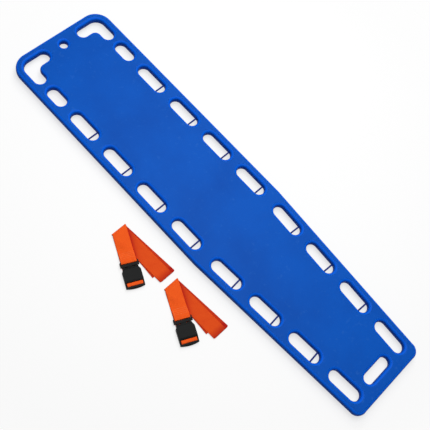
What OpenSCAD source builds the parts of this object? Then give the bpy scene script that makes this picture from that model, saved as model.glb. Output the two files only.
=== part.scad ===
/* [Board] */
// Length of the board
board_l = 1840; // [1760:5:1940]
// Width of the board over its parallel head half
board_w = 450; // [420:1:470]
// Width of the board at its foot edge
foot_w = 352; // [330:1:380]
// Thickness of the moulding between its two faces
shell_t = 34; // [30:1:40]
// Radius of the rounded rim and of every hole's mouth
edge_r = 13; // [9:0.5:13]
// Plan radius of the head corners
head_corner_r = 70; // [62:1:78]
// Plan radius of the foot corners
foot_corner_r = 35; // [30:1:42]
// Half length of the piece in which the parallel and the tapered rims cross
knee_reach = 30; // [20:1:32]
// Wall of the hollow moulding
wall = 4; // [3:0.5:5]
// Gap between the moulding and the foam inside it
foam_gap = 0.3; // [0.2:0.1:0.5]

/* [Hand slots] */
// Length of a long hand slot
slot_l = 136; // [120:1:140]
// Length of the short slot nearest the head
short_slot_l = 90; // [80:1:100]
// Width of the side slots and of the corner holes
slot_w = 47; // [42:1:50]
// Width of the grip between the outline and a slot
rim_w = 30.7; // [30:0.1:34]
// Head edge to the middle of the short slot
short_slot_from_head = 223; // [218:1:228]
// Head edge to the middle of the first long slot
first_slot_from_head = 384; // [380:1:392]
// Foot edge to the middle of the last long slot
last_slot_from_foot = 114; // [110:1:120]
// Distance between the two slots on either side of the bend
knee_gap = 207; // [200:1:215]
// Length of the cross slot at the foot
foot_slot_l = 125; // [110:1:130]
// Width of the cross slot at the foot
foot_slot_w = 41; // [36:1:44]
// Foot edge to the near side of the cross slot
foot_slot_rim = 47.5; // [44:0.5:52]

/* [Head holes] */
// Diameter of the round hole in the head edge
head_hole_d = 32; // [26:1:34]
// Head edge to the near side of the round hole
head_hole_rim = 39; // [36:1:42]
// Reach of a corner hole down the side, from the head edge
elbow_side_reach = 145; // [138:1:148]
// Reach of a corner hole along the head, from the side edge
elbow_head_reach = 150; // [140:1:156]
// Plan radius of the inner bend of a corner hole
elbow_inner_r = 25; // [22:1:28]

/* [Pins] */
// Diameter of a strap pin
pin_d = 6.5; // [5:0.5:8]
// Depth of the seat of a pin on each side of its slot
pin_seat = 12; // [8:1:14]
// Radial clearance of a pin in its seat
pin_gap = 0.1; // [0.05:0.01:0.15]
// Middle of a slot to its pin, towards the foot
pin_offset = 46.5; // [40:0.5:48]

/* [Underside] */
// Height of the runners under the moulding
runner_h = 12; // [8:1:16]
// Width of a runner
runner_w = 36; // [28:1:44]
// Radius of a runner's lower edges
runner_edge_r = 6; // [3:0.5:7]
// Middle of the board to the middle of a runner
runner_x = 62; // [50:1:64]
// Middle of the board to the end of a runner
runner_reach = 640; // [560:5:660]
// Middle of the board to the outer cross ribs
cross_rib_y = 420; // [300:5:500]
// Diameter of the filling port
port_d = 24; // [20:1:30]
// Diameter of the cap of the filling plug
plug_cap_d = 34; // [32:1:40]
// Thickness of the cap of the filling plug
plug_cap_t = 2.5; // [2:0.5:4]
// Middle of the board to the filling port
port_y = 210; // [120:5:300]

/* [Straps] */
// Width of the webbing
web_w = 58; // [54:0.5:59]
// Thickness of the webbing
web_t = 1.8; // [1.4:0.1:2]
// Place of the first strap's fold, across the board
strap_x = -338; // [-360:1:-330]
// Place of the first strap's fold, along the board
strap_y = 146; // [100:1:160]
// Step from the first strap to the second, across the board
strap_step_x = 5; // [-20:1:20]
// Step from the first strap to the second, along the board
strap_step_y = -277; // [-320:1:-270]
// Turn of the buckled strand away from the length of the board
strap_lean = 25.9; // [20:0.1:35]
// Fold to the buckle, along the buckled strand
buckled_l = 125; // [115:1:150]
// Fold to the far end, along the open strand
open_l = 243; // [220:1:270]
// Height of the stack of layers in the open strand
open_stack_h = 6; // [5.6:0.1:6.1]

/* [Buckle] */
// Width of the buckle
buckle_w = 69; // [69:0.5:72]
// Thickness of the socket
socket_t = 15; // [14:0.5:17]
// Wall above and below the socket's sleeve
socket_wall = 2.5; // [2:0.1:3]
// Width of the socket's mouth
mouth_w = 56; // [54:0.5:58]
// Turn that frees a release arm
arm_turn = 9; // [6:0.5:9]
// Height of a release arm
arm_h = 8.6; // [7:0.1:9]
// Running gap between the buckle's pieces
buckle_gap = 0.3; // [0.2:0.05:0.4]

/* [Hidden] */
$fn = 48;
blue = "#1655bc";
pin_blue = "#101c46";
orange = "#f0500f";
black = "#1d2124";
foam_cream = "#e8dcb0";

// Heights, from the floor that the runners stand on
mid_z = runner_h + shell_t/2;
// Slots in each of the two groups on a side, and how the pinned ones are counted from the head
group = 4;
pinned = 7;
foot_group_pinned = pinned - group;

head_y = board_l/2;
foot_y = -board_l/2;
slot_inset = rim_w + slot_w/2;
pitch = (board_l - first_slot_from_head - last_slot_from_foot - knee_gap)/(2*(group - 1));
first_slot_y = head_y - first_slot_from_head;
last_slot_y = foot_y + last_slot_from_foot;
knee_y = first_slot_y - (group - 1)*pitch - knee_gap/2;
taper = atan((board_w - foot_w)/2/(knee_y - foot_y));

// Plan arcs of the right half's outline: centres, and the outward normal of the tapered side
head_c = [board_w/2 - head_corner_r, head_y - head_corner_r];
foot_c = [round(1000*(taper_x(foot_y + foot_corner_r) - foot_corner_r/cos(taper)))/1000, foot_y + foot_corner_r];
taper_n = [cos(taper), -sin(taper)];
// Length of the tapered side, from the foot corner to the bend
taper_l = round((knee_y - foot_c[1] + foot_corner_r*sin(taper))/cos(taper));

// The moulding is built up from a rim, a bay around each slot, two end blocks and the floor between them.
// rim_depth is the flat behind the round of the rim, and seam is how far the flat pieces lap over each other.
rim_depth = edge_r + 2;
seam = 6;
// Where the rims cross at the bend, they are bend_extra deeper and bend_lap longer than the piece that they share.
bend_extra = 5;
bend_lap = 15;
// A foot corner is an arc that stands corner_proud out of the straight rims, and runs on into them by corner_lap degrees.
corner_proud = 0.4;
corner_lap = 16;
core_inset = edge_r + 1.2;
bay_in = slot_w/2 + edge_r + seam + 10;
bay_out = slot_inset - core_inset;
column = slot_inset + bay_in;
elbow_bottom = head_y - elbow_side_reach - edge_r - 2;
foot_block_top = last_slot_y + pitch/2;

function taper_x(y) = foot_w/2 + (y - foot_y)*tan(atan((board_w - foot_w)/2/(knee_y - foot_y)));
function slot_y(i) = i < group ? first_slot_y - i*pitch : last_slot_y + (2*group - 1 - i)*pitch;
function slot_x(i) = i < group ? board_w/2 - slot_inset : taper_x(slot_y(i)) - slot_inset/cos(taper);
function slot_turn(i) = i < group ? 0 : -taper;

// Cross-section of a rim: outline at x = 0, material on the side of negative x, depth mm of it
module rim_profile(depth, t, r) {
    translate([-depth, -t/2]) square([depth - r, t]);
    translate([-r, r - t/2]) square([r, t - 2*r]);
    for (s = [-1, 1]) intersection() {
        translate([-r, s*(t/2 - r)]) circle(r);
        translate([-r, s > 0 ? t/2 - r : -t/2]) square(r);
    }
}

// Half of a hole's cross-section: straight wall at x = w/2, with a mouth of radius r at both faces
module mouth_profile(w, t, r) {
    difference() {
        translate([0, -t/2]) square([w/2 + r, t]);
        for (s = [-1, 1]) translate([w/2 + r, s*(t/2 - r)]) circle(r);
        translate([w/2, r - t/2]) square([r + 1, t - 2*r]);
    }
}

// A straight rim from p to q, with the material on the left of the way from p to q
module rim_strip(p, q, depth, t, r) {
    translate([p[0], p[1], 0]) rotate(atan2(q[1] - p[1], q[0] - p[0])) rotate([90, 0, 90])
        linear_extrude(norm(q - p)) mirror([1, 0]) rim_profile(depth, t, r);
}

module rim_arc(c, radius, from, to, depth, t, r) {
    translate([c[0], c[1], 0]) rotate(from) rotate_extrude(angle = to - from)
        translate([radius, 0]) rim_profile(min(depth, radius), t, r);
}

module slot_middle(l, w, t, r) {
    rotate([90, 0, 0]) linear_extrude(l - w, center = true) {
        mouth_profile(w, t, r);
        mirror([1, 0]) mouth_profile(w, t, r);
    }
}

module slot_end(l, w, t, r, side) {
    mirror([0, side > 0 ? 0 : 1, 0]) translate([0, (l - w)/2, 0])
        rotate_extrude(angle = 180) mouth_profile(w, t, r);
}

// A rectangular bay of the moulding with one slot in it, and the seats of its pin when it has one.
// up and down are the bay's reach from the middle of the slot, and d is the inset from the outer surface.
module bay(l, up, down, d, has_pin) {
    t = shell_t - 2*d;
    r = edge_r - d;
    w = slot_w + 2*d;
    difference() {
        translate([-bay_in, -down, -t/2]) cube([bay_in + bay_out, up + down, t]);
        slot_middle(l + 2*d, w, t, r);
        slot_end(l + 2*d, w, t, r, 1);
        slot_end(l + 2*d, w, t, r, -1);
        if (has_pin) translate([0, -pin_offset, 0]) rotate([0, 90, 0])
            cylinder(d = pin_d + 2*pin_gap, h = slot_w + 2*(pin_seat + foam_gap), center = true);
    }
}

module place_slot(i) {
    translate([slot_x(i), slot_y(i), 0]) rotate(slot_turn(i)) children();
}

// The frame of the tapered side: its origin is the centre of the foot corner, and its y runs up the side
module taper_frame() {
    translate([foot_c[0], foot_c[1], 0]) rotate(-taper) children();
}

// The rounded rim, all the way round the board
module rim(d) {
    t = shell_t - 2*d;
    r = edge_r - d;
    depth = rim_depth - d;
    hr = head_corner_r - d;
    fr = foot_corner_r - d;
    side = board_w/2 - d;
    for (m = [0, 1]) mirror([m, 0, 0]) {
        rim_arc(head_c, hr, 0, 90, depth, t, r);
        rim_strip([side, knee_y + knee_reach], [side, head_c[1]], depth, t, r);
        intersection() {
            rim_strip([side, knee_y - knee_reach - bend_lap], [side, knee_y + knee_reach], depth + bend_extra, t, r);
            taper_frame() rim_strip([fr, taper_l - knee_reach], [fr, taper_l + knee_reach + bend_lap], depth + bend_extra, t, r);
        }
        taper_frame() rim_strip([fr, 0], [fr, taper_l - knee_reach], depth, t, r);
        rim_arc(foot_c, fr + corner_proud, -90 - corner_lap, corner_lap - taper, depth + corner_proud, t, r);
    }
    rim_strip([head_c[0], head_c[1] + hr], [-head_c[0], head_c[1] + hr], depth, t, r);
    rim_strip([-foot_c[0], foot_c[1] - fr], [foot_c[0], foot_c[1] - fr], depth, t, r);
}

// One elbow-shaped corner hole, on the right side of the head
module elbow_cut(d) {
    t = shell_t - 2*d;
    r = edge_r - d;
    w = slot_w + 2*d;
    outer_r = head_corner_r - rim_w + d;
    side_x = board_w/2 - slot_inset;
    limb_y = head_y - slot_inset;
    post = [board_w/2 - rim_w - slot_w - elbow_inner_r, head_y - rim_w - slot_w - elbow_inner_r];
    side_end = head_y - elbow_side_reach + slot_w/2;
    head_end = board_w/2 - elbow_head_reach + slot_w/2;
    side_l = post[1] - side_end;
    limb_l = post[0] - head_end;
    // limb down the side, with its round end
    translate([side_x, side_end + side_l/2, 0]) slot_middle(side_l + w, w, t, r);
    translate([side_x, side_end, 0]) rotate(180) rotate_extrude(angle = 180) mouth_profile(w, t, r);
    // limb along the head, with its round end
    translate([head_end + limb_l/2, limb_y, 0]) rotate(90) slot_middle(limb_l + w, w, t, r);
    translate([head_end, limb_y, 0]) rotate(90) rotate_extrude(angle = 180) mouth_profile(w, t, r);
    // outer bend, and the straight walls beside it
    translate([head_c[0], head_c[1], 0]) rotate_extrude(angle = 90) mouth_profile(2*outer_r, t, r);
    translate([head_c[0], head_c[1], 0]) rotate([90, 0, 0])
        linear_extrude(head_c[1] - post[1]) mouth_profile(2*outer_r, t, r);
    translate([post[0], head_c[1], 0]) rotate([90, 0, 90])
        linear_extrude(head_c[0] - post[0]) mouth_profile(2*outer_r, t, r);
    // inner bend: a square corner less the rounded post that stands in it, as a rounded rim and its solid middle
    post_r = elbow_inner_r - d;
    difference() {
        translate([post[0], post[1], -t/2]) cube([head_c[0] - post[0], head_c[1] - post[1], t]);
        rim_arc(post, post_r, 0, 90, r + 2, t, r);
        translate([post[0], post[1], -t/2 - 1]) cylinder(h = t + 2, r = post_r - r - 1);
    }
}

module head_block(d) {
    t = shell_t - 2*d;
    in = core_inset;
    difference() {
        linear_extrude(t, center = true) {
            translate([-head_c[0], elbow_bottom]) square([2*head_c[0], head_y - in - elbow_bottom]);
            translate([in - board_w/2, elbow_bottom]) square([board_w - 2*in, head_c[1] - elbow_bottom]);
            for (s = [-1, 1]) translate([s*head_c[0], head_c[1]]) circle(head_corner_r - rim_depth + 3, $fn = 12);
        }
        elbow_cut(d);
        mirror([1, 0, 0]) elbow_cut(d);
        translate([0, head_y - head_hole_rim - head_hole_d/2, 0])
            rotate_extrude() mouth_profile(head_hole_d + 2*d, t, edge_r - d);
    }
}

module foot_block(d) {
    t = shell_t - 2*d;
    r = edge_r - d;
    in = core_inset;
    low = foot_y + in;
    corner = foot_c + (foot_corner_r - in)*taper_n;
    top_x = taper_x(foot_block_top) - in/cos(taper);
    last = 2*group - 1;
    difference() {
        linear_extrude(t, center = true) {
            polygon([[-foot_c[0], low], [foot_c[0], low], foot_c, corner, [top_x, foot_block_top],
                     [-top_x, foot_block_top], [-corner[0], corner[1]], [-foot_c[0], foot_c[1]]]);
            for (s = [-1, 1]) translate([s*foot_c[0], foot_c[1]]) circle(foot_corner_r - rim_depth + 2, $fn = 12);
        }
        for (m = [0, 1]) mirror([m, 0, 0]) place_slot(last) {
            slot_middle(slot_l + 2*d, slot_w + 2*d, t, r);
            slot_end(slot_l + 2*d, slot_w + 2*d, t, r, 1);
            slot_end(slot_l + 2*d, slot_w + 2*d, t, r, -1);
        }
        translate([0, foot_y + foot_slot_rim + foot_slot_w/2, 0]) rotate(90) {
            slot_middle(foot_slot_l + 2*d, foot_slot_w + 2*d, t, r);
            slot_end(foot_slot_l + 2*d, foot_slot_w + 2*d, t, r, 1);
            slot_end(foot_slot_l + 2*d, foot_slot_w + 2*d, t, r, -1);
        }
    }
}

// The bays of the side slots, and the flat floor between the two columns of them
module middle(d, seats) {
    t = shell_t - 2*d;
    in = core_inset;
    web_low = slot_y(group) + pitch/2 - seam;
    web_high = slot_y(group - 1) - pitch/2 + seam;
    floor_in = column - seam/2;
    for (m = [0, 1]) mirror([m, 0, 0]) {
        translate([board_w/2 - slot_inset, head_y - short_slot_from_head, 0])
            bay(short_slot_l, elbow_bottom + short_slot_from_head - head_y,
                head_y - short_slot_from_head - first_slot_y - pitch/2, d, false);
        for (i = [0:group - 1]) place_slot(i) bay(slot_l, pitch/2, pitch/2, d, seats);
        for (i = [group:2*group - 2]) place_slot(i)
            bay(slot_l, pitch/2/cos(taper), pitch/2/cos(taper) + (i == 2*group - 2 ? seam : 0), d, seats);
    }
    linear_extrude(t, center = true) {
        polygon([for (s = [1, -1], y = s > 0 ? [web_low, web_high] : [web_high, web_low])
            [s*(min(board_w/2, taper_x(y)) - in), y]]);
        polygon([for (s = [1, -1], p = s > 0 ? floor_edge(floor_in) : floor_back(floor_in)) [s*p[0], p[1]]]);
    }
}

function floor_edge(in) = [
    [taper_x(foot_block_top - seam) - in/cos(taper), foot_block_top - seam],
    [board_w/2 - in, knee_y],
    [board_w/2 - in, elbow_bottom + seam]
];
function floor_back(in) = [floor_edge(in)[2], floor_edge(in)[1], floor_edge(in)[0]];

// The board's body, inset by d on every side: 0 is the outer surface. seats bores the pins' seats.
module body(d, seats) {
    rim(d);
    head_block(d);
    foot_block(d);
    middle(d, seats);
}

module runner_profile() {
    translate([0, runner_edge_r]) square([runner_w/2, runner_h + wall/2 - runner_edge_r]);
    square([runner_w/2 - runner_edge_r, runner_edge_r]);
    intersection() {
        translate([runner_w/2 - runner_edge_r, runner_edge_r]) circle(runner_edge_r);
        square([runner_w/2, runner_edge_r]);
    }
}

module runner_bar(l) {
    rotate([90, 0, 0]) linear_extrude(l, center = true) {
        runner_profile();
        mirror([1, 0]) runner_profile();
    }
}

module runners() {
    straight = 2*runner_reach - runner_w;
    for (s = [-1, 1]) translate([s*runner_x, 0, 0]) {
        runner_bar(straight);
        for (e = [0, 180]) rotate(e) translate([0, straight/2, 0]) rotate_extrude(angle = 180) runner_profile();
    }
    for (y = [-cross_rib_y, 0, cross_rib_y]) translate([0, y, 0]) rotate(90) runner_bar(2*runner_x);
}

module board_shell() {
    color(blue) difference() {
        union() {
            translate([0, 0, mid_z]) body(0, true);
            runners();
        }
        translate([0, 0, mid_z]) body(wall, false);
        translate([0, port_y, runner_h - 1]) cylinder(d = port_d, h = wall + 2);
    }
}

module foam_core() {
    color(foam_cream) difference() {
        translate([0, 0, mid_z]) body(wall + foam_gap, true);
        translate([0, port_y, runner_h]) cylinder(d = port_d + 2*foam_gap, h = wall + 2*plug_cap_t + 1);
    }
}

// The cap lies on the underside, between the runners, and the stem closes the port
module filling_plug() {
    color(blue) translate([0, port_y, 0]) {
        translate([0, 0, runner_h - plug_cap_t]) cylinder(d = plug_cap_d, h = plug_cap_t);
        translate([0, 0, runner_h - 0.1]) cylinder(d = port_d - 2*pin_gap, h = wall + plug_cap_t);
    }
}

module pin(side, i) {
    color(pin_blue) mirror([side == "left" ? 1 : 0, 0, 0]) translate([0, 0, mid_z]) place_slot(i - 1)
        translate([0, -pin_offset, 0]) rotate([0, 90, 0])
            cylinder(d = pin_d, h = slot_w + 2*pin_seat, center = true);
}

// Stations along the buckle, counted from the outer edge of the tongue's webbing bar to the ladder
bar_end = 5;
bar_slot_end = 9.5;
flange_end = 19;
sleeve_start = 22;
ring_end = 28;
shoulder_end = 38;
window_end = 50;
cavity_end = 65;
sleeve_end = 77.5;
middle_bar_start = 81.5;
middle_bar_end = 87;
end_bar_start = 91;
buckle_l = 98;
end_bulge = 5;

// Heights in the buckle, which lies on the two layers of webbing that pass under it
under_layers = 2*web_t + buckle_gap;
socket_top = under_layers + socket_t;
buckle_mid_z = under_layers + socket_t/2;
bar_h = 6;
guide_h = 5;
guide_w = 18;
guide_end = cavity_end - guide_w/2 - 2;
flange_h = 10;
rail_w = (buckle_w - web_w)/2 - buckle_gap;
arm_t = 5;
arm_root_r = arm_t/2;
arm_x = mouth_w/2 - 6;
arm_root_y = -flange_end - buckle_gap - arm_root_r;
pad_x = buckle_w/2 - buckle_gap;
latch_gap = 1.7;
latch_wall_x = buckle_w/2 - 4;
slide_travel = 40;

module place_strap(s) {
    translate([strap_x + (s - 1)*strap_step_x, strap_y + (s - 1)*strap_step_y, 0]) children();
}

module place_buckle(s) {
    place_strap(s) rotate(-strap_lean) translate([0, -buckled_l, 0]) children();
}

// Side profile (along the buckle, height) drawn from x = 0 towards the ladder, extruded across the width w
module across(w) {
    rotate([90, 0, -90]) linear_extrude(w, center = true) children();
}

module tongue() {
    color(black) {
        difference() {
            translate([0, 0, buckle_mid_z - flange_h/2]) linear_extrude(flange_h) difference() {
                translate([-buckle_w/2, -flange_end]) square([buckle_w, flange_end]);
                for (s = [-1, 1]) translate([s*buckle_w/2, 0]) rotate(45) square(3, center = true);
                translate([-web_w/2 - buckle_gap, -bar_slot_end]) square([web_w + 2*buckle_gap, bar_slot_end - bar_end]);
            }
            // the webbing bar is thinner than the flange
            for (s = [0, 1]) translate([-web_w/2 - buckle_gap, -bar_slot_end, s > 0 ? buckle_mid_z + bar_h/2 : 0])
                cube([web_w + 2*buckle_gap, bar_slot_end + 1, s > 0 ? flange_h : buckle_mid_z - bar_h/2]);
        }
        // centre guide with a round nose
        translate([-guide_w/2, -guide_end, buckle_mid_z - guide_h/2])
            cube([guide_w, guide_end - flange_end + 1, guide_h]);
        translate([0, -guide_end, buckle_mid_z - guide_h/2]) cylinder(d = guide_w, h = guide_h);
    }
}

// Plan of a release arm on the right, from its root: a run through the mouth, the pad, the latch face and the tip
module arm_plan() {
    polygon([
        [arm_x + 0.3 - arm_root_r, arm_root_y], [arm_x + arm_root_r - 0.3, arm_root_y],
        [arm_x + arm_root_r - 0.2, -ring_end - 1], [pad_x - 1, -shoulder_end + 1.5], [pad_x, -shoulder_end],
        [pad_x, -window_end + latch_gap], [latch_wall_x - 1.2, -window_end + latch_gap],
        [latch_wall_x - 2.6, 6 - cavity_end], [latch_wall_x - 5, 3.5 - cavity_end],
        [latch_wall_x - 8.5, 6 - cavity_end], [latch_wall_x - 6.5, -window_end + 4], [arm_x - arm_root_r + 1, -ring_end - 4]
    ]);
}

module release_arm(side) {
    color(black) mirror([side == "left" ? 1 : 0, 0, 0]) translate([0, 0, buckle_mid_z - arm_h/2]) {
        linear_extrude(arm_h) arm_plan();
        translate([arm_x, arm_root_y, 0]) cylinder(r = arm_root_r, h = arm_h);
    }
}

module socket_plan() {
    end_r = (pow(buckle_w/2, 2) + pow(end_bulge, 2))/(2*end_bulge);
    intersection() {
        union() {
            polygon([
                [-mouth_w/2, -sleeve_start], [mouth_w/2, -sleeve_start], [mouth_w/2 + 1, -ring_end],
                [buckle_w/2 - 0.5, -shoulder_end + 1.5], [buckle_w/2, -shoulder_end - 1], [buckle_w/2, -buckle_l - end_bulge],
                [-buckle_w/2, -buckle_l - end_bulge], [-buckle_w/2, -shoulder_end - 1],
                [0.5 - buckle_w/2, -shoulder_end + 1.5], [-mouth_w/2 - 1, -ring_end]
            ]);
        }
        // the end bar bulges outwards in a flat arc
        translate([0, end_r - buckle_l - end_bulge]) circle(end_r, $fn = 180);
    }
}

module socket() {
    inner_h = socket_t - 2*socket_wall;
    color(black) difference() {
        intersection() {
            translate([0, 0, under_layers]) linear_extrude(socket_t) socket_plan();
            // crowned sleeve that steps down to the ladder
            across(buckle_w + 2) polygon([
                [sleeve_start, under_layers + 2], [sleeve_start + 2, under_layers], [buckle_l, under_layers],
                [buckle_l + end_bulge, under_layers + 2], [buckle_l + end_bulge, under_layers + 6.5],
                [buckle_l + 1, under_layers + 9], [end_bar_start, under_layers + 9.5], [middle_bar_start, socket_top - 3],
                [sleeve_end, socket_top - 1.2], [sleeve_end - 6, socket_top], [sleeve_start + 8, socket_top],
                [sleeve_start, socket_top - 2]
            ]);
        }
        // sleeve: a closed ring at the mouth, then the space for the arms between the latch walls
        translate([0, 0, buckle_mid_z - inner_h/2]) {
            translate([1.5 - mouth_w/2, -ring_end - 1, 0]) cube([mouth_w - 3, ring_end + 1, inner_h]);
            translate([-latch_wall_x, -cavity_end, 0]) cube([2*latch_wall_x, cavity_end - ring_end, inner_h]);
            // side windows for the pads
            translate([-buckle_w, -window_end, 0]) cube([2*buckle_w, window_end - ring_end, inner_h]);
        }
        // the two gaps of the ladder
        translate([-web_w/2 - buckle_gap, -middle_bar_start, 0])
            cube([web_w + 2*buckle_gap, middle_bar_start - sleeve_end, 2*socket_top]);
        translate([-web_w/2 - buckle_gap, -end_bar_start, 0])
            cube([web_w + 2*buckle_gap, end_bar_start - middle_bar_end, 2*socket_top]);
        // the middle bar is lower than the rails beside it
        translate([-web_w/2 - buckle_gap, -end_bar_start, ladder_bar_top])
            cube([web_w + 2*buckle_gap, end_bar_start - sleeve_end, socket_top]);
        translate([-web_w/2 - buckle_gap, -end_bar_start, 0])
            cube([web_w + 2*buckle_gap, end_bar_start - sleeve_end, ladder_bar_bottom]);
    }
}
ladder_bar_bottom = under_layers + 3.5;
ladder_bar_top = ladder_bar_bottom + 5;

// The turn of webbing over the ladder's middle bar, and the two layers that leave it under the sleeve
module ladder_wrap() {
    color(orange) across(web_w) difference() {
        translate([sleeve_end - 1.5, 0.2]) square([middle_bar_end + buckle_gap + web_t - sleeve_end + 1.5,
                                                   ladder_bar_top + buckle_gap + web_t - 0.2]);
        translate([0, under_layers - buckle_gap]) square([middle_bar_start - buckle_gap - web_t, socket_top]);
        translate([middle_bar_start - buckle_gap, under_layers - buckle_gap])
            square([middle_bar_end - middle_bar_start + 2*buckle_gap, ladder_bar_top + 2*buckle_gap - under_layers]);
    }
}

// Two strands of folded webbing. The buckled strand runs from the fold over the tongue's bar, with two layers
// on the floor under the buckle. The open strand lies under it at the fold, and its layers fan out at the far end.
module webbing() {
    loop_top = buckle_mid_z + bar_h/2 + buckle_gap + web_t;
    loop_bottom = buckle_mid_z - bar_h/2 - buckle_gap - web_t;
    fan = 13;
    color(orange) {
        rotate(-strap_lean) translate([0, -buckled_l, 0]) across(web_w) difference() {
            polygon([
                [-buckled_l - 5, open_stack_h - 1], [-buckled_l - 8, open_stack_h + 3], [-buckled_l - 4, open_stack_h + 7],
                [-buckled_l + 14, open_stack_h + 7.5], [-44, loop_top - 4.2], [-24, loop_top - 3],
                [-3, loop_top], [bar_end + 1, loop_top], [bar_end + buckle_gap + web_t, loop_top - 1.5],
                [bar_end + buckle_gap + web_t, loop_bottom + 1.5], [bar_end + 1, loop_bottom], [-3, loop_bottom],
                [-6, 2*web_t + 0.2], [sleeve_end - 1.8, 2*web_t], [sleeve_end - 1.8, 0.2], [-60, 0.2],
                [-84, open_stack_h - 1]
            ]);
            translate([-buckle_gap, buckle_mid_z - bar_h/2 - buckle_gap])
                square([bar_end + 2*buckle_gap, bar_h + 2*buckle_gap]);
        }
        translate([0, 0, 0.2]) linear_extrude(open_stack_h - 0.2) polygon([
            [-web_w/2, 0], [-web_w/2 + 4, 2], [web_w/2 + 5, 0], [web_w/2 + fan + 5, -open_l],
            [web_w/2 - web_w - 0, -open_l]
        ]);
    }
}

board_shell();
foam_core();
filling_plug();
for (side = ["left", "right"], i = [1:pinned])
    pin(side, i);
for (s = [1, 2]) {
    place_strap(s) webbing();
    place_buckle(s) ladder_wrap();
    place_buckle(s) tongue();
    for (side = ["left", "right"])
        place_buckle(s) release_arm(side);
    place_buckle(s) socket();
}
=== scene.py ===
"""A rescue spine board with its strap pins, and two folded restraint straps with side-release buckles."""
import math

import bmesh
import bpy
from bpy.props import FloatProperty, FloatVectorProperty
from mathutils import Matrix, Vector


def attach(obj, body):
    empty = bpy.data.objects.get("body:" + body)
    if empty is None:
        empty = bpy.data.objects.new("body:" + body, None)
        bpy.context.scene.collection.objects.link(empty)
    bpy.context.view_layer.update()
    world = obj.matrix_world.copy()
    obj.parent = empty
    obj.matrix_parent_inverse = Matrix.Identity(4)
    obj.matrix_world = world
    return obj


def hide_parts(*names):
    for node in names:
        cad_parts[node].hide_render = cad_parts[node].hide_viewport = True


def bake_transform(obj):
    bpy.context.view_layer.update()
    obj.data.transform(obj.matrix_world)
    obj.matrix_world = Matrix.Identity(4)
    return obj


bl_info = {
    "name": "Spine Board",
    "version": (1, 0, 0),
    "blender": (4, 5, 0),
    "location": "View3D > Sidebar > Spine Board",
    "description": "Dresses a spine board and its two restraint straps",
    "category": "Object",
}

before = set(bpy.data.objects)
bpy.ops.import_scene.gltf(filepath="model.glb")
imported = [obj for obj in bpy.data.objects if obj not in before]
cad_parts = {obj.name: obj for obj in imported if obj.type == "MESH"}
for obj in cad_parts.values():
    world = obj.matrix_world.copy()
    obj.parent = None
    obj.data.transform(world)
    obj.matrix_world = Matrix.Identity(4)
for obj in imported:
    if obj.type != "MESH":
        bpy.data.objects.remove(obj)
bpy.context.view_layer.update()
STRAPS = (1, 2)
MM = 0.001
# Mid-height of the moulding, where the halves of its mould meet
MID_HEIGHT = 0.029

# Where each strap's fold lies, and how its buckled strand leans away from the length of the board
FOLD = {1: Vector((-0.338, 0.146, 0.0)), 2: Vector((-0.333, -0.131, 0.0))}
LEAN = math.radians(25.9)
DOWN_STRAND = Vector((-math.sin(LEAN), -math.cos(LEAN), 0.0))
ACROSS_STRAND = Vector((math.cos(LEAN), -math.sin(LEAN), 0.0))
UP_BOARD = Vector((0, 1, 0))

# The folded webbing, in mm. Places along the buckled strand, from the fold: its sewn end, the buckle, the far side of
# the tongue's bar, and the end of what lies under the buckle
SEWN_END, FOLD_TO_BUCKLE = 86, 125.0
ROUND_BAR, UNDER_BUCKLE = FOLD_TO_BUCKLE + 5, FOLD_TO_BUCKLE + 10
BUCKLE = {n: FOLD[n] + DOWN_STRAND * FOLD_TO_BUCKLE * MM for n in STRAPS}
# Lengths of the open strand and of the tail in it, where the far turn begins, and how far out the layers drift
OPEN_STRAND, TAIL, FAR_TURN = 242, 214, 241
FLOOR_OUT, BACK_OUT, TAIL_BOW = 23, 9, 4.0
# Half the webbing's width, and by how much the open strand is wider than that at the fold, down to nothing
HALF_WIDTH, FLARE, FLARE_REACH = 29, 3.2, 30
# Heights of the layers: the lowest, the tail's, and the third, then how high they lift what lies over them
FLOOR_LAYER, TAIL_LAYER, BACK_LAYER, STACK = 1.05, 2.8, 4.6, 5.4
# Heights along the buckled strand: the top layer up to the tongue's bar, the sewn end under it, and how both of them
# leave what lies beneath
UPPER = [(70, 4.55), (FOLD_TO_BUCKLE - 4, 15.5)]
SEWN = [(SEWN_END, 5.0), (104, 10.6), (110, 11.2), (FOLD_TO_BUCKLE, 7.3)]
SETTLE = [(70, 1.0), (118, 0.0)]
# Reach of the ramp over the open strand's left edge, for the layers on top of it and for those close to the floor
TOP_RAMP, LOW_RAMP = 30, 8
# How far the half turns bulge out: round the bar, at the far end, and at the fold from the outermost to the innermost
BAR_BULGE, FAR_BULGE, OUTER_BULGE, TAIL_BULGE, INNER_BULGE = 1.6, 3.0, 4.3, 2.6, 0.9
# Faces across the webbing, the length of one along it, and the faces round half a turn
ACROSS, ALONG, TURN_STEPS = 20, 3.0, 8

# Side view of the ladder wrap in mm from the tongue's bar: in under the sleeve, up, over the middle bar, down, and
# out again on the floor
LADDER_PATH = [
    (10, 2.8), (30, 2.8), (50, 2.8), (70, 2.8), (76, 2.9), (79.2, 4.2), (80.0, 7.0), (79.8, 10.0), (79.6, 12.6),
    (80.2, 14.6), (82.0, 15.6), (85.0, 15.9), (88.5, 15.7), (90.9, 15.0), (91.4, 14.3), (90.4, 13.0), (89.6, 10.5),
    (89.0, 6.0), (88.0, 2.2), (85.5, 1.1), (76, 1.05), (60, 1.05), (40, 1.05), (25, 1.05), (10, 1.05)]

# Rows of lockstitches, in mm below the fold
SEAM_ROWS = (91, 98, 105, 112)

# Numbers of the Mix node's sockets when it mixes colours
COLOUR_A, COLOUR_B, COLOUR_OUT = 6, 7, 2


def linear(hex_colour):
    """sRGB hex to Blender's linear RGBA."""
    parts = [int(hex_colour[i:i + 2], 16) / 255 for i in (1, 3, 5)]
    return tuple(c / 12.92 if c <= 0.04045 else ((c + 0.055) / 1.055) ** 2.4 for c in parts) + (1.0,)


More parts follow.
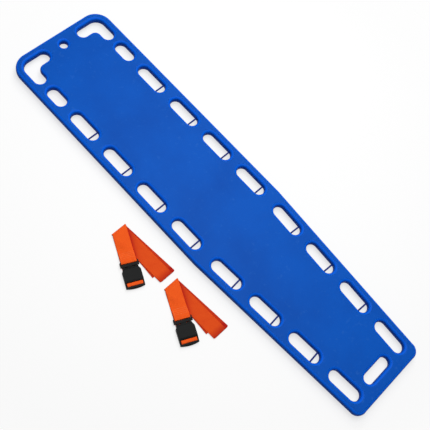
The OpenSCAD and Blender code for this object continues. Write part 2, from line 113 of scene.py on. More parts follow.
class BoardSettings(bpy.types.PropertyGroup):
    """Colours and finish of the board"""

    shell_colour: FloatVectorProperty(
        name="Shell colour", description="Colour of the moulding",
        default=linear("#0256be"), subtype="COLOR", size=4, min=0, max=1)
    shell_shade: FloatVectorProperty(
        name="Shell shade", description="Colour of its darker drifts",
        default=linear("#024fb3"), subtype="COLOR", size=4, min=0, max=1)
    # painted highlight: a brighter blue mixed onto the rounded edges
    edge_highlight_colour: FloatVectorProperty(
        name="Edge colour", description="Colour of its rounded edges",
        default=linear("#025edc"), subtype="COLOR", size=4, min=0, max=1)
    # painted shade: a darker navy mixed onto the upright walls
    wall_shade_colour: FloatVectorProperty(
        name="Wall colour", description="Colour of its upright walls",
        default=linear("#032a72"), subtype="COLOR", size=4, min=0, max=1)
    pin_colour: FloatVectorProperty(
        name="Pin colour", description="Colour of the strap pins",
        default=linear("#0e2674"), subtype="COLOR", size=4, min=0, max=1)
    grain: FloatProperty(name="Grain", description="Size of the moulding's grain", default=1.1 * MM, unit="LENGTH")


class WebbingSettings(bpy.types.PropertyGroup):
    """Sizes and colours of the webbing"""

    width: FloatProperty(name="Width", description="Width of the webbing", default=58 * MM, unit="LENGTH")
    thickness: FloatProperty(
        name="Thickness", description="Thickness of the webbing", default=1.6 * MM, unit="LENGTH")
    rib: FloatProperty(name="Rib", description="Spacing of the woven ribs", default=1.3 * MM, unit="LENGTH")
    colour: FloatVectorProperty(
        name="Colour", description="Colour of the raised yarns",
        default=linear("#f55f1e"), subtype="COLOR", size=4, min=0, max=1)
    shade: FloatVectorProperty(
        name="Shade", description="Colour between the yarns",
        default=linear("#de4716"), subtype="COLOR", size=4, min=0, max=1)
    # painted shade: a deeper red mixed into the open strand, most beside the buckled strand, at the far turn and on the
    # lower layers
    crease_shade: FloatVectorProperty(
        name="Crease", description="Colour in the creases, where dust and shade gather",
        default=linear("#b01c12"), subtype="COLOR", size=4, min=0, max=1)
    thread: FloatVectorProperty(
        name="Thread", description="Colour of the sewing thread",
        default=linear("#ffa267"), subtype="COLOR", size=4, min=0, max=1)


class BuckleSettings(bpy.types.PropertyGroup):
    """Colour and finish of the buckles"""

    colour: FloatVectorProperty(
        name="Colour", description="Colour of the buckle",
        default=linear("#070808"), subtype="COLOR", size=4, min=0, max=1)
    roughness: FloatProperty(
        name="Roughness", description="Roughness of the moulded surface",
        default=0.42, min=0, max=1, subtype="FACTOR")


class StageSettings(bpy.types.PropertyGroup):
    """Floor, light and camera"""

    floor_colour: FloatVectorProperty(
        name="Floor colour", description="Colour of the floor",
        default=linear("#fefefe"), subtype="COLOR", size=4, min=0, max=1)
    floor_bounce: FloatVectorProperty(
        name="Floor bounce", description="Tone that the floor gives back to the board",
        default=linear("#8c8c8e"), subtype="COLOR", size=4, min=0, max=1)
    fill: FloatProperty(
        name="Fill", description="Strength of the light from below that opens up the underside", default=0.09)
    shadow: FloatProperty(
        name="Shadow", description="Share of the floor's tone that follows the light",
        default=0.3, min=0, max=1, subtype="FACTOR")
    lens: FloatProperty(name="Lens", description="Focal length of the camera in mm", default=58.14, unit="CAMERA")
    key: FloatProperty(
        name="Key light", description="Power of the light beyond the board's right side", default=26.0, unit="POWER")
    overhead: FloatProperty(
        name="Overhead light", description="Power of the wide light above", default=92.0, unit="POWER")
    sky: FloatProperty(name="Sky", description="Strength of the even light all round", default=0.15)


# ---- nodes and materials


def add(tree, kind, inputs=None, stops=(), **settings):
    """Adds a node. inputs holds values, or sockets to link, by name or number; stops, a ramp's places and colours."""
    made = tree.nodes.new(kind)
    for key, value in settings.items():
        setattr(made, key, value)
    for key, value in (inputs or {}).items():
        if isinstance(value, bpy.types.NodeSocket):
            tree.links.new(value, made.inputs[key])
        else:
            made.inputs[key].default_value = value
    for i, (place, colour) in enumerate(stops):
        made.color_ramp.elements[i].position, made.color_ramp.elements[i].color = place, colour
    return made


def grey(value):
    """A plain number as a colour: for white light, or for the stop of a ramp that serves as a mask."""
    return (value, value, value, 1.0)


def new_material(name):
    """An empty node material, and its tree."""
    made = bpy.data.materials.new(name)
    made.use_nodes = True
    made.node_tree.nodes.clear()
    return made, made.node_tree


def background_rays(tree):
    """1 for the rays that show the background: the camera's, and those that a glossy or clear surface passes on."""
    seen = add(tree, "ShaderNodeLightPath").outputs
    either = add(tree, "ShaderNodeMath", {0: seen["Is Camera Ray"], 1: seen["Is Glossy Ray"]},
                 operation="MAXIMUM").outputs[0]
    return add(tree, "ShaderNodeMath", {0: either, 1: seen["Is Transmission Ray"]}, operation="MAXIMUM").outputs[0]


def moulded_polyethylene(colour, shade, edge, wall_shade, grain):
    """Rotationally moulded polyethylene: even and waxy, with fine pebbled grain from the mould and drifts of tone."""
    drift_size, scuff_size, seam_half, seam_reach = 200 * MM, 16.7 * MM, 0.2 * MM, 0.9 * MM
    made, tree = new_material("rotomoulded_polyethylene")
    where = add(tree, "ShaderNodeTexCoord").outputs["Object"]
    drift = add(tree, "ShaderNodeTexNoise", {"Vector": where, "Scale": 1 / drift_size, "Detail": 3.0}).outputs["Fac"]
    even = add(tree, "ShaderNodeValToRGB", {"Fac": drift}, ((0.35, shade), (0.62, colour))).outputs["Color"]
    pebble = add(tree, "ShaderNodeTexNoise", {"Vector": where, "Scale": 1 / grain, "Detail": 2.0}).outputs["Fac"]
    scuff = add(tree, "ShaderNodeTexNoise", {"Vector": where, "Scale": 1 / scuff_size, "Detail": 6.0,
                                             "Roughness": 0.7}).outputs["Fac"]
    rough = add(tree, "ShaderNodeMapRange", {"Value": scuff, "To Min": 0.42, "To Max": 0.62}).outputs["Result"]
    # the pits between the grain hold a little dust, and hard use leaves pale scuffs
    pitted = add(tree, "ShaderNodeValToRGB", {"Fac": pebble}, ((0.3, grey(0.82)), (0.55, grey(1)))).outputs["Color"]
    clean = add(tree, "ShaderNodeMix", {"Factor": 1.0, COLOUR_A: even, COLOUR_B: pitted},
                data_type="RGBA", blend_type="MULTIPLY").outputs[COLOUR_OUT]
    rubbed = add(tree, "ShaderNodeValToRGB", {"Fac": scuff}, ((0.58, grey(0)), (0.72, grey(0.16)))).outputs["Color"]
    face = add(tree, "ShaderNodeMix", {"Factor": rubbed, COLOUR_A: clean, COLOUR_B: linear("#4f8ad6")},
               data_type="RGBA").outputs[COLOUR_OUT]
    # painted highlight and painted shade: faces tilted a little from level take a brighter blue, and the upright walls
    # a darker navy
    normal = add(tree, "ShaderNodeTexCoord").outputs["Normal"]
    upward = add(tree, "ShaderNodeSeparateXYZ", {"Vector": normal}).outputs["Z"]
    level = add(tree, "ShaderNodeMath", {0: upward}, operation="ABSOLUTE").outputs[0]
    round_highlight_mask = add(tree, "ShaderNodeValToRGB", {"Fac": level}, ((0.92, grey(1)), (0.99, grey(0)))).outputs["Color"]
    wall_shade_mask = add(tree, "ShaderNodeValToRGB", {"Fac": level}, ((0.35, grey(0.55)), (0.68, grey(0)))).outputs["Color"]
    highlighted = add(tree, "ShaderNodeMix", {"Factor": round_highlight_mask, COLOUR_A: face, COLOUR_B: edge},
                 data_type="RGBA").outputs[COLOUR_OUT]
    base = add(tree, "ShaderNodeMix", {"Factor": wall_shade_mask, COLOUR_A: highlighted, COLOUR_B: wall_shade},
               data_type="RGBA").outputs[COLOUR_OUT]
    # the seam that the two halves of the mould leave at mid-height
    height = add(tree, "ShaderNodeSeparateXYZ", {"Vector": where}).outputs["Z"]
    off = add(tree, "ShaderNodeMath", {0: height, 1: MID_HEIGHT}, operation="SUBTRACT").outputs[0]
    away = add(tree, "ShaderNodeMath", {0: off}, operation="ABSOLUTE").outputs[0]
    seam = add(tree, "ShaderNodeMapRange", {"Value": away, "From Min": seam_half, "From Max": seam_reach,
                                            "To Min": 1.0, "To Max": 0.0}).outputs["Result"]
    grainy = add(tree, "ShaderNodeBump", {"Height": pebble, "Strength": 0.55, "Distance": 0.6 * MM}).outputs[0]
    ridge = add(tree, "ShaderNodeBump", {"Height": seam, "Strength": 0.5, "Distance": 0.4 * MM,
                                         "Normal": grainy}).outputs[0]
    shader = add(tree, "ShaderNodeBsdfPrincipled", {"Base Color": base, "Roughness": rough, "Normal": ridge,
                                                    "Specular IOR Level": 0.07}).outputs[0]
    add(tree, "ShaderNodeOutputMaterial", {"Surface": shader})
    return made


def drawn_rod(colour):
    """Extruded polymer rod: smooth and slightly glossy, with faint lines along its length."""
    line_length, line_width = 25 * MM, 1.11 * MM
    made, tree = new_material("extruded_polymer_rod")
    where = add(tree, "ShaderNodeTexCoord").outputs["Object"]
    stretched = add(tree, "ShaderNodeMapping", {"Vector": where, "Scale": (1 / line_length, 1 / line_width,
                                                                          1 / line_width)}).outputs[0]
    lines = add(tree, "ShaderNodeTexNoise", {"Vector": stretched, "Scale": 1.0, "Detail": 2.0}).outputs["Fac"]
    rough = add(tree, "ShaderNodeMapRange", {"Value": lines, "To Min": 0.28, "To Max": 0.45}).outputs["Result"]
    bump = add(tree, "ShaderNodeBump", {"Height": lines, "Strength": 0.2, "Distance": 0.2 * MM}).outputs[0]
    shader = add(tree, "ShaderNodeBsdfPrincipled", {"Base Color": colour, "Roughness": rough, "Normal": bump,
                                                    "Specular IOR Level": 0.15}).outputs[0]
    add(tree, "ShaderNodeOutputMaterial", {"Surface": shader})
    return made


def rigid_foam():
    """Poured rigid foam: cream, matte and full of fine cells."""
    cell_size = 1.43 * MM
    made, tree = new_material("poured_rigid_foam")
    where = add(tree, "ShaderNodeTexCoord").outputs["Object"]
    cells = add(tree, "ShaderNodeTexVoronoi", {"Vector": where, "Scale": 1 / cell_size}).outputs["Distance"]
    base = add(tree, "ShaderNodeValToRGB", {"Fac": cells},
               ((0.0, linear("#cdbf8e")), (1.0, linear("#eee3bb")))).outputs["Color"]
    bump = add(tree, "ShaderNodeBump", {"Height": cells, "Strength": 0.6, "Distance": 0.6 * MM}).outputs[0]
    shader = add(tree, "ShaderNodeBsdfPrincipled", {"Base Color": base, "Roughness": 0.9, "Normal": bump}).outputs[0]
    add(tree, "ShaderNodeOutputMaterial", {"Surface": shader})
    return made


def woven_webbing(colour, shade, crease_shade, rib, width):
    """Woven polypropylene webbing: warp ribs along it in two slants, which catch the light in a soft sheen."""
    fuzz_size, selvedge = 22.2 * MM, 1.8 * MM
    made, tree = new_material("woven_polypropylene_webbing")
    where = add(tree, "ShaderNodeUVMap", uv_map="weave").outputs[0]
    split = add(tree, "ShaderNodeSeparateXYZ", {"Vector": where})
    u, v = split.outputs["X"], split.outputs["Y"]
    # chevrons: the slant of the weave turns round from one rib to the next
    fold = add(tree, "ShaderNodeMath", {0: u, 1: rib * 2}, operation="PINGPONG").outputs[0]
    slanted = add(tree, "ShaderNodeMath", {0: v, 1: fold}, operation="ADD").outputs[0]
    turns = add(tree, "ShaderNodeMath", {0: slanted, 1: 2 * math.pi / rib}, operation="MULTIPLY").outputs[0]
    weft = add(tree, "ShaderNodeMath", {0: turns}, operation="SINE").outputs[0]
    ribs = add(tree, "ShaderNodeMath", {0: u, 1: 2 * math.pi / (rib * 2)}, operation="MULTIPLY").outputs[0]
    warp = add(tree, "ShaderNodeMath", {0: ribs}, operation="COSINE").outputs[0]
    both = add(tree, "ShaderNodeMath", {0: weft, 1: 0.6, 2: warp}, operation="MULTIPLY_ADD").outputs[0]
    height = add(tree, "ShaderNodeMapRange", {"Value": both, "From Min": -1.6, "From Max": 1.6}).outputs["Result"]
    fuzz = add(tree, "ShaderNodeTexNoise", {"Vector": where, "Scale": 1 / fuzz_size, "Detail": 4.0}).outputs["Fac"]
    tone = add(tree, "ShaderNodeMath", {0: fuzz, 1: 0.9, 2: height}, operation="MULTIPLY_ADD").outputs[0]
    base = add(tree, "ShaderNodeValToRGB", {"Fac": tone}, ((0.35, shade), (1.0, colour))).outputs["Color"]
    # the selvedge on each side is woven tighter
    side = add(tree, "ShaderNodeMath", {0: u}, operation="ABSOLUTE").outputs[0]
    edge = add(tree, "ShaderNodeMapRange", {"Value": side, "From Min": width / 2 - selvedge,
                                            "From Max": width / 2}).outputs["Result"]
    woven = add(tree, "ShaderNodeMix", {"Factor": edge, COLOUR_A: base, COLOUR_B: shade},
                data_type="RGBA").outputs[COLOUR_OUT]
    # painted shade: an attribute laid with the ribbon mixes the weave toward a deeper red
    shade_depth = add(tree, "ShaderNodeAttribute", attribute_name="crease_shade").outputs["Fac"]
    shaded = add(tree, "ShaderNodeMix", {"Factor": shade_depth, COLOUR_A: woven, COLOUR_B: crease_shade},
               data_type="RGBA").outputs[COLOUR_OUT]
    bump = add(tree, "ShaderNodeBump", {"Height": height, "Strength": 0.35, "Distance": 0.4 * MM}).outputs[0]
    shader = add(tree, "ShaderNodeBsdfPrincipled", {"Base Color": shaded, "Roughness": 0.72, "Normal": bump,
                                                    "Specular IOR Level": 0.06}).outputs[0]
    add(tree, "ShaderNodeOutputMaterial", {"Surface": shader})
    return made


def bonded_thread(colour):
    """Bonded sewing thread: three plies twisted together, with a low sheen."""
    twist_size = 2 * MM
    made, tree = new_material("bonded_sewing_thread")
    where = add(tree, "ShaderNodeTexCoord").outputs["Object"]
    twist = add(tree, "ShaderNodeTexWave", {"Vector": where, "Scale": 1 / twist_size,
                                            "Distortion": 0.5}).outputs["Fac"]
    bump = add(tree, "ShaderNodeBump", {"Height": twist, "Strength": 0.4, "Distance": 0.2 * MM}).outputs[0]
    base = add(tree, "ShaderNodeValToRGB", {"Fac": twist}, ((0.0, linear("#e9702e")), (1.0, colour))).outputs["Color"]
    shader = add(tree, "ShaderNodeBsdfPrincipled", {"Base Color": base, "Roughness": 0.55, "Normal": bump}).outputs[0]
    add(tree, "ShaderNodeOutputMaterial", {"Surface": shader})
    return made


def moulded_acetal(colour, roughness):
    """Injection-moulded acetal: black and dense, with a satin spark-eroded surface and a little wear."""
    grit_size, wear_size = 0.625 * MM, 11.1 * MM
    made, tree = new_material("moulded_acetal")
    where = add(tree, "ShaderNodeTexCoord").outputs["Object"]
    grit = add(tree, "ShaderNodeTexNoise", {"Vector": where, "Scale": 1 / grit_size, "Detail": 2.0}).outputs["Fac"]
    wear = add(tree, "ShaderNodeTexNoise", {"Vector": where, "Scale": 1 / wear_size, "Detail": 5.0}).outputs["Fac"]
    base = add(tree, "ShaderNodeValToRGB", {"Fac": wear}, ((0.45, colour), (0.75, linear("#121414")))).outputs["Color"]
    rough = add(tree, "ShaderNodeMapRange", {"Value": wear, "To Min": roughness - 0.08,
                                             "To Max": roughness + 0.1}).outputs["Result"]
    bump = add(tree, "ShaderNodeBump", {"Height": grit, "Strength": 0.25, "Distance": 0.2 * MM}).outputs[0]
    shader = add(tree, "ShaderNodeBsdfPrincipled", {"Base Color": base, "Roughness": rough, "Normal": bump,
                                                    "Specular IOR Level": 0.06}).outputs[0]
    add(tree, "ShaderNodeOutputMaterial", {"Surface": shader})
    return made


def give(piece, material):
    """Gives the piece this one material."""
    piece.data.materials.clear()
    piece.data.materials.append(material)


def new_piece(name, bm, material):
    """Makes the bmesh an object of the scene."""
    mesh = bpy.data.meshes.new(name)
    bm.to_mesh(mesh)
    bm.free()
    piece = bpy.data.objects.new(name, mesh)
    bpy.context.scene.collection.objects.link(piece)
    give(piece, material)
    return piece


# ---- webbing


def ease(table, at):
    """Value at a place along a strand, eased between the table's rows of (place, value)."""
    if at <= table[0][0]:
        return table[0][1]
    for (a, va), (b, vb) in zip(table, table[1:]):
        if at <= b:
            t = (at - a) / (b - a)
            return va + (vb - va) * t * t * (3 - 2 * t)
    return table[-1][1]


def flare(t):
    """How much wider in mm the open strand is on each side, t mm from the fold."""
    return FLARE * max(0.0, 1 - t / FLARE_REACH)


def tail_drift(t):
    """Drift in mm of the tail, t mm from the fold."""
    return TAIL_BOW * math.sin(math.pi * min(t, TAIL) / TAIL)


def floor_drift(t):
    """Drift in mm of the open strand's layer on the floor, whose right edge runs straight from the fold's flare."""
    return FLOOR_OUT * t / FAR_TURN + FLARE * min(1, t / FLARE_REACH) * (1 - t / OPEN_STRAND)


def back_drift(t):
    """Drift in mm of the open strand's third layer."""
    return BACK_OUT * t / FAR_TURN


def lift(x, y, reach):
    """Height in mm that the open strand gives to what lies over it, with a ramp of this reach beside its left edge."""
    t = max(0.0, -y)
    edge = tail_drift(t) - HALF_WIDTH - flare(t)
    u = max(0.0, min(1.0, (x - edge + reach) / reach))
    return STACK * u * u * (3 - 2 * u)


def upper_height(down, p):
    """Height in mm of the middle of the buckled strand's top layer, at a place that far below the fold."""
    return ease(UPPER, down) + ease(SETTLE, down) * lift(p.x, p.y, TOP_RAMP)


def buckled_rungs(start, end, height, half, reach):
    """Rungs across the buckled strand, from start to end in mm below the fold, eased over what they lie on."""
    # the fold's slant dies away over this length in mm
    slant_reach = 45
    climbs = height[-1][1] > STACK
    count = max(2, int(abs(end - start) / ALONG))
    out = []
    for i in range(count + 1):
        s = start + (end - start) * i / count
        shear = half * math.tan(LEAN) * max(0.0, 1 - s / slant_reach)
        a = DOWN_STRAND * (s + shear) - ACROSS_STRAND * half
        b = DOWN_STRAND * (s - shear) + ACROSS_STRAND * half
        over = ease(SETTLE, s) if climbs else 1.0
        out.append([Vector((p.x, p.y, ease(height, s) + over * lift(p.x, p.y, reach)))
                    for p in (a.lerp(b, k / ACROSS) for k in range(ACROSS + 1))])
    return out


def open_rungs(start, end, drift, height, half):
    """Rungs across the open strand, whose middle drifts sideways with the way from the fold."""
    count = max(2, int(abs(end - start) / ALONG))
    out = []
    for i in range(count + 1):
        t = start + (end - start) * i / count
        wide = half + flare(t)
        out.append([Vector((drift(t) + wide * (2 * k / ACROSS - 1), -t, height)) for k in range(ACROSS + 1)])
    return out


def turned(before, after, bulge):
    """Rungs of a half turn between two rungs that lie over each other."""
    out = []
    for i in range(1, TURN_STEPS):
        a = math.pi * i / TURN_STEPS
        out.append([p.lerp(q, (1 - math.cos(a)) / 2) + bulge * math.sin(a) for p, q in zip(before, after)])
    return out


def crease_shade_depth(p):
    """How much painted shade a point of the open strand takes, beside the buckled strand and at the far turn, up to 1.
    """
    # shares of painted shade from the whole strand, the side of the buckled strand, the far turn and the lower layers
    whole, beside_share, turn_share, low_share = 0.3, 0.8, 0.5, 0.45
    # in mm: how far in the painted shade starts under the buckled strand, and the tops of the strand and of its lower
    # layers
    overlap, strand_top, low_top = -1, 7, 3.6
    # in mm: how far out the shade reaches, by how much more at the fold, down to nothing, and the far turn
    reach, fold_reach, fold_length = 6, 12, 130
    turn_start, turn_length = 216, 24
    t, beside = -p.y, p.dot(ACROSS_STRAND) - HALF_WIDTH
    if beside < overlap or p.z > strand_top:
        return 0.0
    reach += fold_reach * max(0.0, 1 - t / fold_length)
    depth = whole + beside_share * math.exp(-max(0.0, beside) / reach)
    depth += turn_share * max(0.0, min(1.0, (t - turn_start) / turn_length))
    depth += low_share if p.z < low_top else 0.0
    return min(1.0, depth)


def lay_ribbon(bm, rungs, place, width):
    """Lays a strip of faces through the rungs, in mm from place, with its weave in metres on a UV map."""
    weave = bm.loops.layers.uv.get("weave") or bm.loops.layers.uv.new("weave")
    shade_depth = bm.verts.layers.float.get("crease_shade") or bm.verts.layers.float.new("crease_shade")
    made = bmesh.ops.create_grid(bm, x_segments=ACROSS, y_segments=len(rungs) - 1, size=1.0)["verts"]
    middle = ACROSS // 2
    run = [0.0]
    for one, two in zip(rungs, rungs[1:]):
        run.append(run[-1] + (two[middle] - one[middle]).length)
    spots = {}
    for v in made:
        k, i = round((v.co.x + 1) / 2 * ACROSS), round((v.co.y + 1) / 2 * (len(rungs) - 1))
        j = min(len(rungs) - 2, i)
        ahead = (rungs[j + 1][middle] - rungs[j][middle]).normalized()
        slip = (rungs[i][k] - rungs[i][middle]).dot(ahead)
        spots[v] = ((k / ACROSS - 0.5) * width, (run[i] + slip) * MM)
        # each point also carries how much painted shade it takes
        v[shade_depth] = crease_shade_depth(rungs[i][k])
        v.co = rungs[i][k] * MM + place
    for face in {f for v in made for f in v.link_faces}:
        face.smooth = True
        for loop in face.loops:
            loop[weave].uv = spots[loop.vert]
    return run[-1] * MM


def finish_ribbon(name, bm, thickness, material):
    """Gives the laid strips their thickness and soft edges."""
    bmesh.ops.recalc_face_normals(bm, faces=bm.faces)
    piece = new_piece(name, bm, material)
    thick = piece.modifiers.new("thickness", "SOLIDIFY")
    thick.thickness, thick.offset = thickness, 0.0
    soft = piece.modifiers.new("soft edge", "BEVEL")
    soft.width, soft.segments = thickness * 0.35, 2
    soft.limit_method, soft.angle_limit = "ANGLE", math.radians(60)
    return piece


class SPINEBOARD_OT_board(bpy.types.Operator):
    """Finish the board's moulding, its foam, its plug and its pins"""

    bl_idname = "spineboard.board"
    bl_label = "Board"

    def execute(self, context):
        s = context.scene.spineboard_board
        shell = moulded_polyethylene(s.shell_colour, s.shell_shade, s.edge_highlight_colour, s.wall_shade_colour, s.grain)
        foam, rod = rigid_foam(), drawn_rod(s.pin_colour)
        for name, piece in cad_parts.items():
            if name in ("board_shell", "filling_plug"):
                give(piece, shell)
            elif name == "foam_core":
                give(piece, foam)
            elif name.startswith("pin_"):
                give(piece, rod)
        return {"FINISHED"}


class SPINEBOARD_OT_webbing(bpy.types.Operator):
    """Fold each strap's webbing: three layers from the buckle over the fold to the far end"""

    bl_idname = "spineboard.webbing"
    bl_label = "Webbing"

    def execute(self, context):
        s = context.scene.spineboard_webbing
        half = s.width / MM / 2
        cloth = woven_webbing(s.colour, s.shade, s.crease_shade, s.rib, s.width)
        for n in STRAPS:
            # from the sewn end round the tongue's bar, over the fold, to the far end and back on top to the buckle
            first = buckled_rungs(SEWN_END, ROUND_BAR, SEWN, half, TOP_RAMP)
            above = buckled_rungs(ROUND_BAR, 0, UPPER, half, TOP_RAMP)
            first += turned(first[-1], above[0], DOWN_STRAND * BAR_BULGE) + above
            floor = open_rungs(0, OPEN_STRAND, floor_drift, FLOOR_LAYER, half)
            first += turned(first[-1], floor[0], UP_BOARD * OUTER_BULGE) + floor
            back = open_rungs(OPEN_STRAND, 0, back_drift, BACK_LAYER, half)
            first += turned(first[-1], back[0], -UP_BOARD * FAR_BULGE) + back
            under = buckled_rungs(0, UNDER_BUCKLE, [(0, FLOOR_LAYER)], half, LOW_RAMP)
            first += turned(first[-1], under[0], UP_BOARD * INNER_BULGE) + under
            # from under the buckle back over the fold, and out as the tail between the open strand's two layers
            second = buckled_rungs(UNDER_BUCKLE, 0, [(0, TAIL_LAYER)], half, LOW_RAMP)
            tail = open_rungs(0, TAIL, tail_drift, TAIL_LAYER, half)
            second += turned(second[-1], tail[0], UP_BOARD * TAIL_BULGE) + tail
            bm = bmesh.new()
            length = lay_ribbon(bm, first, FOLD[n], s.width) + lay_ribbon(bm, second, FOLD[n], s.width)
            piece = finish_ribbon(f"webbing_{n}", bm, s.thickness, cloth)
            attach(piece, f"strap_{n}")
            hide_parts(f"strap_{n}_webbing")
        return {"FINISHED"}


class SPINEBOARD_OT_ladder_wrap(bpy.types.Operator):
    """Thread each strap's webbing over the middle bar of its buckle's ladder"""

    bl_idname = "spineboard.ladder_wrap"
    bl_label = "Ladder wrap"

    def execute(self, context):
        s = context.scene.spineboard_webbing
        half = s.width / MM / 2
        cloth = bpy.data.materials["woven_polypropylene_webbing"]
        # a step of the path is divided where its length, squared, is over this
        long_step, parts_of_long = 60, 3
        for n in STRAPS:
            rungs = []
            for (y0, z0), (y1, z1) in zip(LADDER_PATH, LADDER_PATH[1:] + LADDER_PATH[-1:]):
                parts = parts_of_long if (y1 - y0) ** 2 + (z1 - z0) ** 2 > long_step else 1
                for i in range(parts):
                    y, z = y0 + (y1 - y0) * i / parts, z0 + (z1 - z0) * i / parts
                    rungs.append([DOWN_STRAND * y + ACROSS_STRAND * half * (2 * k / ACROSS - 1) + Vector((0, 0, z))
                                  for k in range(ACROSS + 1)])
            bm = bmesh.new()
            length = lay_ribbon(bm, rungs, BUCKLE[n], s.width)
            piece = finish_ribbon(f"ladder_wrap_{n}", bm, s.thickness, cloth)
            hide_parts(f"strap_{n}_ladder_wrap")
            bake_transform(piece)
        return {"FINISHED"}


class SPINEBOARD_OT_stitching(bpy.types.Operator):
    """Sew each strap's end down: rows of lockstitches across the webbing above the buckle"""

    bl_idname = "spineboard.stitching"
    bl_label = "Stitching"

    def execute(self, context):
        s = context.scene.spineboard_webbing
        thread = bonded_thread(s.thread)
        # in mm: distance of the side seams from the middle, one stitch across and one along, and the thread's radius
        reach, pitch, side_pitch, radius = s.width / MM / 2 - 4, 4.0, 3.5, 0.42
        # half of a stitch shows over this share of its pitch
        shown = 0.42
        for n in STRAPS:
            bm = bmesh.new()
            seams = [[(row, -reach + pitch * i) for i in range(int(2 * reach / pitch) + 1)] for row in SEAM_ROWS]
            for side in (-reach, reach):
                seams.append([(SEAM_ROWS[0] + side_pitch * i, side) for i in range(7)])
            for seam in seams:
                for one, two in zip(seam, seam[1:]):
                    ends = []
                    for down, across in (one, two):
                        p = DOWN_STRAND * down + ACROSS_STRAND * across
                        ends.append(Vector((p.x, p.y, upper_height(down, p) + s.thickness / MM / 2)))
                    way = ends[1] - ends[0]
                    turn = way.to_track_quat("X", "Z").to_matrix().to_4x4()
                    size = Matrix.Diagonal((way.length * shown, radius, radius, 1))
                    middle = Matrix.Translation((ends[0] + ends[1]) / 2)
                    spot = Matrix.Translation(FOLD[n]) @ Matrix.Scale(MM, 4) @ middle
                    bmesh.ops.create_uvsphere(bm, u_segments=6, v_segments=5, radius=1.0, matrix=spot @ turn @ size)
            for face in bm.faces:
                face.smooth = True
            piece = new_piece(f"stitching_{n}", bm, thread)
            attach(piece, f"strap_{n}")
        return {"FINISHED"}


class SPINEBOARD_OT_buckles(bpy.types.Operator):
    """Finish the buckles' tongues, release arms and sockets"""

    bl_idname = "spineboard.buckles"
    bl_label = "Buckles"

    def execute(self, context):
        s = context.scene.spineboard_buckle
        black = moulded_acetal(s.colour, s.roughness)
        for name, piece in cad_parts.items():
            if name.endswith(("_tongue", "_socket")) or "_release_arm_" in name:
                give(piece, black)
        return {"FINISHED"}


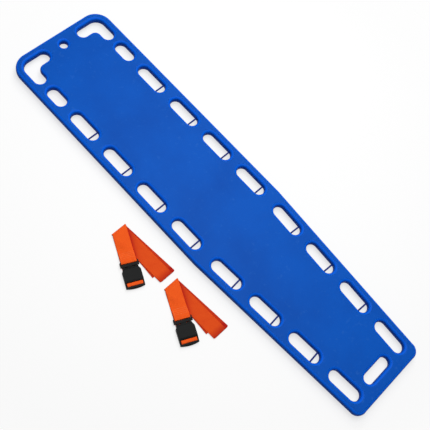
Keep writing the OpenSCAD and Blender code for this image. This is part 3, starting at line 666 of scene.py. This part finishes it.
class SPINEBOARD_OT_stage(bpy.types.Operator):
    """Lay the pale floor, and set the soft light and the camera"""

    bl_idname = "spineboard.stage"
    bl_label = "Stage"

    def lay_floor(self, s):
        """Matte paper, of which the camera sees the written tone with a pale shadow, and the board a darker bounce."""
        half_side, drop = 8.0, 0.3 * MM
        # the shadow fades out past the board's ends, so that the paper stays pale where the lamps don't reach
        fade_start, fade_end = 0.95, 1.4
        made, tree = new_material("matte_studio_paper")
        matte = add(tree, "ShaderNodeBsdfDiffuse", {"Color": s.floor_colour}).outputs[0]
        even = add(tree, "ShaderNodeEmission", {"Color": s.floor_colour, "Strength": 1.0}).outputs[0]
        where = add(tree, "ShaderNodeTexCoord").outputs["Object"]
        away = add(tree, "ShaderNodeVectorMath", {0: where}, operation="LENGTH").outputs["Value"]
        share = add(tree, "ShaderNodeMapRange", {"Value": away, "From Min": fade_start, "From Max": fade_end,
                                                 "To Min": s.shadow, "To Max": 0.0},
                    interpolation_type="SMOOTHSTEP").outputs["Result"]
        shown = add(tree, "ShaderNodeMixShader", {0: share, 1: even, 2: matte}).outputs[0]
        paper = add(tree, "ShaderNodeBsdfDiffuse", {"Color": s.floor_bounce}).outputs[0]
        fill = add(tree, "ShaderNodeEmission", {"Color": grey(1), "Strength": s.fill}).outputs[0]
        bounce = add(tree, "ShaderNodeAddShader", {0: paper, 1: fill}).outputs[0]
        top = add(tree, "ShaderNodeMixShader", {0: background_rays(tree), 1: bounce, 2: shown}).outputs[0]
        # open from below, so that the underside of the board can be looked at
        below = add(tree, "ShaderNodeNewGeometry").outputs["Backfacing"]
        clear = add(tree, "ShaderNodeBsdfTransparent").outputs[0]
        both = add(tree, "ShaderNodeMixShader", {0: below, 1: top, 2: clear}).outputs[0]
        add(tree, "ShaderNodeOutputMaterial", {"Surface": both})
        bm = bmesh.new()
        bmesh.ops.create_grid(bm, x_segments=1, y_segments=1, size=half_side, matrix=Matrix.Translation((0, 0, -drop)))
        new_piece("studio_floor", bm, made)

    def set_light(self, s):
        """A wide light overhead and a smaller one beyond the board's right side, under an even sky that looks white."""
        world = bpy.data.worlds.new("studio")
        world.use_nodes = True
        bpy.context.scene.world = world
        tree = world.node_tree
        tree.nodes.clear()
        lit = add(tree, "ShaderNodeBackground", {"Color": grey(1), "Strength": s.sky}).outputs[0]
        white = add(tree, "ShaderNodeBackground", {"Color": grey(1), "Strength": 1.0}).outputs[0]
        shown = add(tree, "ShaderNodeMixShader", {0: background_rays(tree), 1: lit, 2: white}).outputs[0]
        add(tree, "ShaderNodeOutputWorld", {"Surface": shown})
        for name, size, power, place in (("overhead_softbox", 2.2, s.overhead, (0.25, 0.15, 3.4)),
                                         ("key_softbox", 1.2, s.key, (1.7, 1.3, 2.6))):
            lamp = bpy.data.lights.new(name, "AREA")
            lamp.shape, lamp.size, lamp.energy = "SQUARE", size, power
            softbox = bpy.data.objects.new(name, lamp)
            softbox.location = place
            softbox.rotation_euler = (-softbox.location).to_track_quat("-Z", "Y").to_euler()
            bpy.context.scene.collection.objects.link(softbox)

    def set_camera(self, s):
        """Camera above the lower left of the board, which looks down across it."""
        right = Vector((0.70485, -0.68403, 0.18784))
        down = Vector((-0.59448, -0.7141, -0.36967))
        ahead = Vector((0.387, 0.14889, -0.90998))
        # the camera's place was worked out from the board's mid-height
        place = Vector((-1.0381, -0.4299, 2.3649 + MID_HEIGHT))
        camera = bpy.data.objects.new("camera", bpy.data.cameras.new("camera"))
        camera.data.lens, camera.data.sensor_width = s.lens, 36.0
        camera.matrix_world = Matrix.Translation(place) @ Matrix((right, -down, -ahead)).transposed().to_4x4()
        bpy.context.scene.collection.objects.link(camera)
        bpy.context.scene.camera = camera

    def execute(self, context):
        s = context.scene.spineboard_stage
        context.scene.view_settings.view_transform = "Standard"
        self.lay_floor(s)
        self.set_light(s)
        self.set_camera(s)
        return {"FINISHED"}


class SPINEBOARD_PT_panel(bpy.types.Panel):
    """Steps that dress the board"""

    bl_idname = "SPINEBOARD_PT_panel"
    bl_label = "Spine Board"
    bl_space_type = "VIEW_3D"
    bl_region_type = "UI"
    bl_category = "Spine Board"

    def draw(self, context):
        for step in STEPS:
            self.layout.operator(step.bl_idname)
        for group in GROUPS:
            settings = getattr(context.scene, "spineboard_" + group)
            box = self.layout.box()
            box.label(text=group.capitalize())
            for name in settings.__annotations__:
                box.prop(settings, name)


GROUPS = {"board": BoardSettings, "webbing": WebbingSettings, "buckle": BuckleSettings, "stage": StageSettings}
STEPS = (SPINEBOARD_OT_stage, SPINEBOARD_OT_board, SPINEBOARD_OT_webbing, SPINEBOARD_OT_ladder_wrap,
         SPINEBOARD_OT_stitching, SPINEBOARD_OT_buckles)


def register():
    for made in (*GROUPS.values(), *STEPS, SPINEBOARD_PT_panel):
        bpy.utils.register_class(made)
    for name, group in GROUPS.items():
        setattr(bpy.types.Scene, "spineboard_" + name, bpy.props.PointerProperty(type=group))


def unregister():
    for name in GROUPS:
        delattr(bpy.types.Scene, "spineboard_" + name)
    for made in (SPINEBOARD_PT_panel, *reversed(STEPS), *reversed(GROUPS.values())):
        bpy.utils.unregister_class(made)


def main():
    register()
    for step in STEPS:
        area, name = step.bl_idname.split(".")
        getattr(getattr(bpy.ops, area), name)()


if __name__ == "__main__":
    main()
